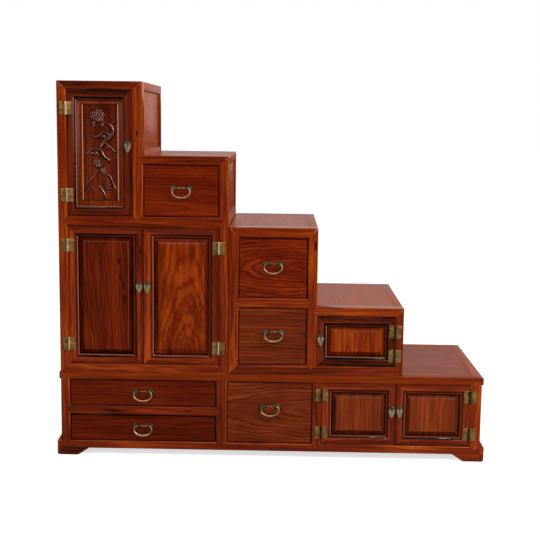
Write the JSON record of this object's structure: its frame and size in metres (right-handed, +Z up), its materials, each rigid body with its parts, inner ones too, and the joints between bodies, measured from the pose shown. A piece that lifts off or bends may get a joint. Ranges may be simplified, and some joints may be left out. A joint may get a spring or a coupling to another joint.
{
  "type": "step chest",
  "caption": "East Asian step chest in stacked stepped cases, with drawers on bail handles, framed doors on butterfly hinges and a carved door.",
  "frame": {"origin": "on the floor, below the middle of the chest's bounding box", "axes": "+X to the right along the chest's length, +Y from the front to the back, +Z up"},
  "size_m": [1.52, 0.4596, 1.325],
  "materials": {
    "frame_wood": "polished lacquer",
    "board_wood": "polished lacquer",
    "panel_wood": "polished lacquer",
    "brass": "aged"
  },
  "bodies": {
    "case": {"base_feet": "frame_wood", "base_frame": "frame_wood", "base_top": "frame_wood", "base_side_panels": "board_wood", "base_back_boards": "board_wood", "base_floor": "board_wood", "base_divisions": "board_wood", "tall_frame": "frame_wood", "tall_side_panels": "board_wood", "tall_back_boards": "board_wood", "tall_tops": "board_wood", "tall_boards": "board_wood", "low_frame": "frame_wood", "low_side_panels": "board_wood", "low_back_boards": "board_wood", "low_tops": "board_wood", "low_boards": "board_wood", "case_hinges": "brass"},
    "carved_door": {"carved_door_frame": "frame_wood", "carved_door_panel": "panel_wood", "carved_door_brass": "brass"},
    "carved_door_pull": {"carved_door_drop": "brass"},
    "tall_left_door": {"tall_left_door_frame": "frame_wood", "tall_left_door_panel": "panel_wood", "tall_left_door_brass": "brass"},
    "tall_left_door_pull": {"tall_left_door_drop": "brass"},
    "tall_right_door": {"tall_right_door_frame": "frame_wood", "tall_right_door_panel": "panel_wood", "tall_right_door_brass": "brass"},
    "tall_right_door_pull": {"tall_right_door_drop": "brass"},
    "low_door": {"low_door_frame": "frame_wood", "low_door_panel": "panel_wood", "low_door_brass": "brass"},
    "low_door_pull": {"low_door_drop": "brass"},
    "base_left_door": {"base_left_door_frame": "frame_wood", "base_left_door_panel": "panel_wood", "base_left_door_brass": "brass"},
    "base_left_door_pull": {"base_left_door_drop": "brass"},
    "base_right_door": {"base_right_door_frame": "frame_wood", "base_right_door_panel": "panel_wood", "base_right_door_brass": "brass"},
    "base_right_door_pull": {"base_right_door_drop": "brass"},
    "wide_lower_drawer": {"wide_lower_drawer": "board_wood", "wide_lower_drawer_plate": "brass"},
    "wide_lower_drawer_handle": {"wide_lower_drawer_bail": "brass"},
    "wide_upper_drawer": {"wide_upper_drawer": "board_wood", "wide_upper_drawer_plate": "brass"},
    "wide_upper_drawer_handle": {"wide_upper_drawer_bail": "brass"},
    "deep_drawer": {"deep_drawer": "board_wood", "deep_drawer_plate": "brass"},
    "deep_drawer_handle": {"deep_drawer_bail": "brass"},
    "tall_drawer": {"tall_drawer": "board_wood", "tall_drawer_plate": "brass"},
    "tall_drawer_handle": {"tall_drawer_bail": "brass"},
    "low_lower_drawer": {"low_lower_drawer": "board_wood", "low_lower_drawer_plate": "brass"},
    "low_lower_drawer_handle": {"low_lower_drawer_bail": "brass"},
    "low_upper_drawer": {"low_upper_drawer": "board_wood", "low_upper_drawer_plate": "brass"},
    "low_upper_drawer_handle": {"low_upper_drawer_bail": "brass"}
  },
  "joints": [
    {"name": "carved_door_swing", "type": "hinge", "parent": "case", "child": "carved_door", "pos_m": [-0.7125, -0.2238, 1.078], "axis": [0, 0, -1], "range_deg": [0, 170]},
    {"name": "carved_door_pull_swing", "type": "hinge", "parent": "carved_door", "child": "carved_door_pull", "pos_m": [-0.5005, -0.2274, 1.1105], "axis": [-1, 0, 0], "range_deg": [-5, 95]},
    {"name": "tall_left_door_swing", "type": "hinge", "parent": "case", "child": "tall_left_door", "pos_m": [-0.7125, -0.2238, 0.58], "axis": [0, 0, -1], "range_deg": [0, 170]},
    {"name": "tall_left_door_pull_swing", "type": "hinge", "parent": "tall_left_door", "child": "tall_left_door_pull", "pos_m": [-0.46375, -0.2274, 0.6215], "axis": [-1, 0, 0], "range_deg": [-5, 95]},
    {"name": "tall_right_door_swing", "type": "hinge", "parent": "case", "child": "tall_right_door", "pos_m": [-0.1865, -0.2238, 0.58], "axis": [0, 0, 1], "range_deg": [0, 90]},
    {"name": "tall_right_door_pull_swing", "type": "hinge", "parent": "tall_right_door", "child": "tall_right_door_pull", "pos_m": [-0.43625, -0.2274, 0.6215], "axis": [-1, 0, 0], "range_deg": [-5, 95]},
    {"name": "low_door_swing", "type": "hinge", "parent": "case", "child": "low_door", "pos_m": [0.4335, -0.2238, 0.43], "axis": [0, 0, 1], "range_deg": [0, 170]},
    {"name": "low_door_pull_swing", "type": "hinge", "parent": "low_door", "child": "low_door_pull", "pos_m": [0.1725, -0.2274, 0.444], "axis": [-1, 0, 0], "range_deg": [-5, 95]},
    {"name": "base_left_door_swing", "type": "hinge", "parent": "case", "child": "base_left_door", "pos_m": [0.1805, -0.2238, 0.167], "axis": [0, 0, -1], "range_deg": [0, 90]},
    {"name": "base_left_door_pull_swing", "type": "hinge", "parent": "base_left_door", "child": "base_left_door_pull", "pos_m": [0.42875, -0.2274, 0.1875], "axis": [-1, 0, 0], "range_deg": [-5, 95]},
    {"name": "base_right_door_swing", "type": "hinge", "parent": "case", "child": "base_right_door", "pos_m": [0.7045, -0.2238, 0.167], "axis": [0, 0, 1], "range_deg": [0, 170]},
    {"name": "base_right_door_pull_swing", "type": "hinge", "parent": "base_right_door", "child": "base_right_door_pull", "pos_m": [0.45625, -0.2274, 0.1875], "axis": [-1, 0, 0], "range_deg": [-5, 95]},
    {"name": "wide_lower_drawer_slide", "type": "slide", "parent": "case", "child": "wide_lower_drawer", "axis": [0, -1, 0], "range_m": [0, 0.3]},
    {"name": "wide_lower_drawer_handle_swing", "type": "hinge", "parent": "wide_lower_drawer", "child": "wide_lower_drawer_handle", "pos_m": [-0.4535, -0.2267, 0.1105], "axis": [-1, 0, 0], "range_deg": [-5, 110]},
    {"name": "wide_upper_drawer_slide", "type": "slide", "parent": "case", "child": "wide_upper_drawer", "axis": [0, -1, 0], "range_m": [0, 0.3]},
    {"name": "wide_upper_drawer_handle_swing", "type": "hinge", "parent": "wide_upper_drawer", "child": "wide_upper_drawer_handle", "pos_m": [-0.4535, -0.2267, 0.237], "axis": [-1, 0, 0], "range_deg": [-5, 110]},
    {"name": "deep_drawer_slide", "type": "slide", "parent": "case", "child": "deep_drawer", "axis": [0, -1, 0], "range_m": [0, 0.3]},
    {"name": "deep_drawer_handle_swing", "type": "hinge", "parent": "deep_drawer", "child": "deep_drawer_handle", "pos_m": [-0.0014, -0.2267, 0.19], "axis": [-1, 0, 0], "range_deg": [-5, 110]},
    {"name": "tall_drawer_slide", "type": "slide", "parent": "case", "child": "tall_drawer", "axis": [0, -1, 0], "range_m": [0, 0.3]},
    {"name": "tall_drawer_handle_swing", "type": "hinge", "parent": "tall_drawer", "child": "tall_drawer_handle", "pos_m": [-0.318, -0.2267, 0.962], "axis": [-1, 0, 0], "range_deg": [-5, 110]},
    {"name": "low_lower_drawer_slide", "type": "slide", "parent": "case", "child": "low_lower_drawer", "axis": [0, -1, 0], "range_m": [0, 0.3]},
    {"name": "low_lower_drawer_handle_swing", "type": "hinge", "parent": "low_lower_drawer", "child": "low_lower_drawer_handle", "pos_m": [0.0067, -0.2267, 0.4605], "axis": [-1, 0, 0], "range_deg": [-5, 110]},
    {"name": "low_upper_drawer_slide", "type": "slide", "parent": "case", "child": "low_upper_drawer", "axis": [0, -1, 0], "range_m": [0, 0.3]},
    {"name": "low_upper_drawer_handle_swing", "type": "hinge", "parent": "low_upper_drawer", "child": "low_upper_drawer_handle", "pos_m": [0.003, -0.2267, 0.7025], "axis": [-1, 0, 0], "range_deg": [-5, 110]}
  ]
}
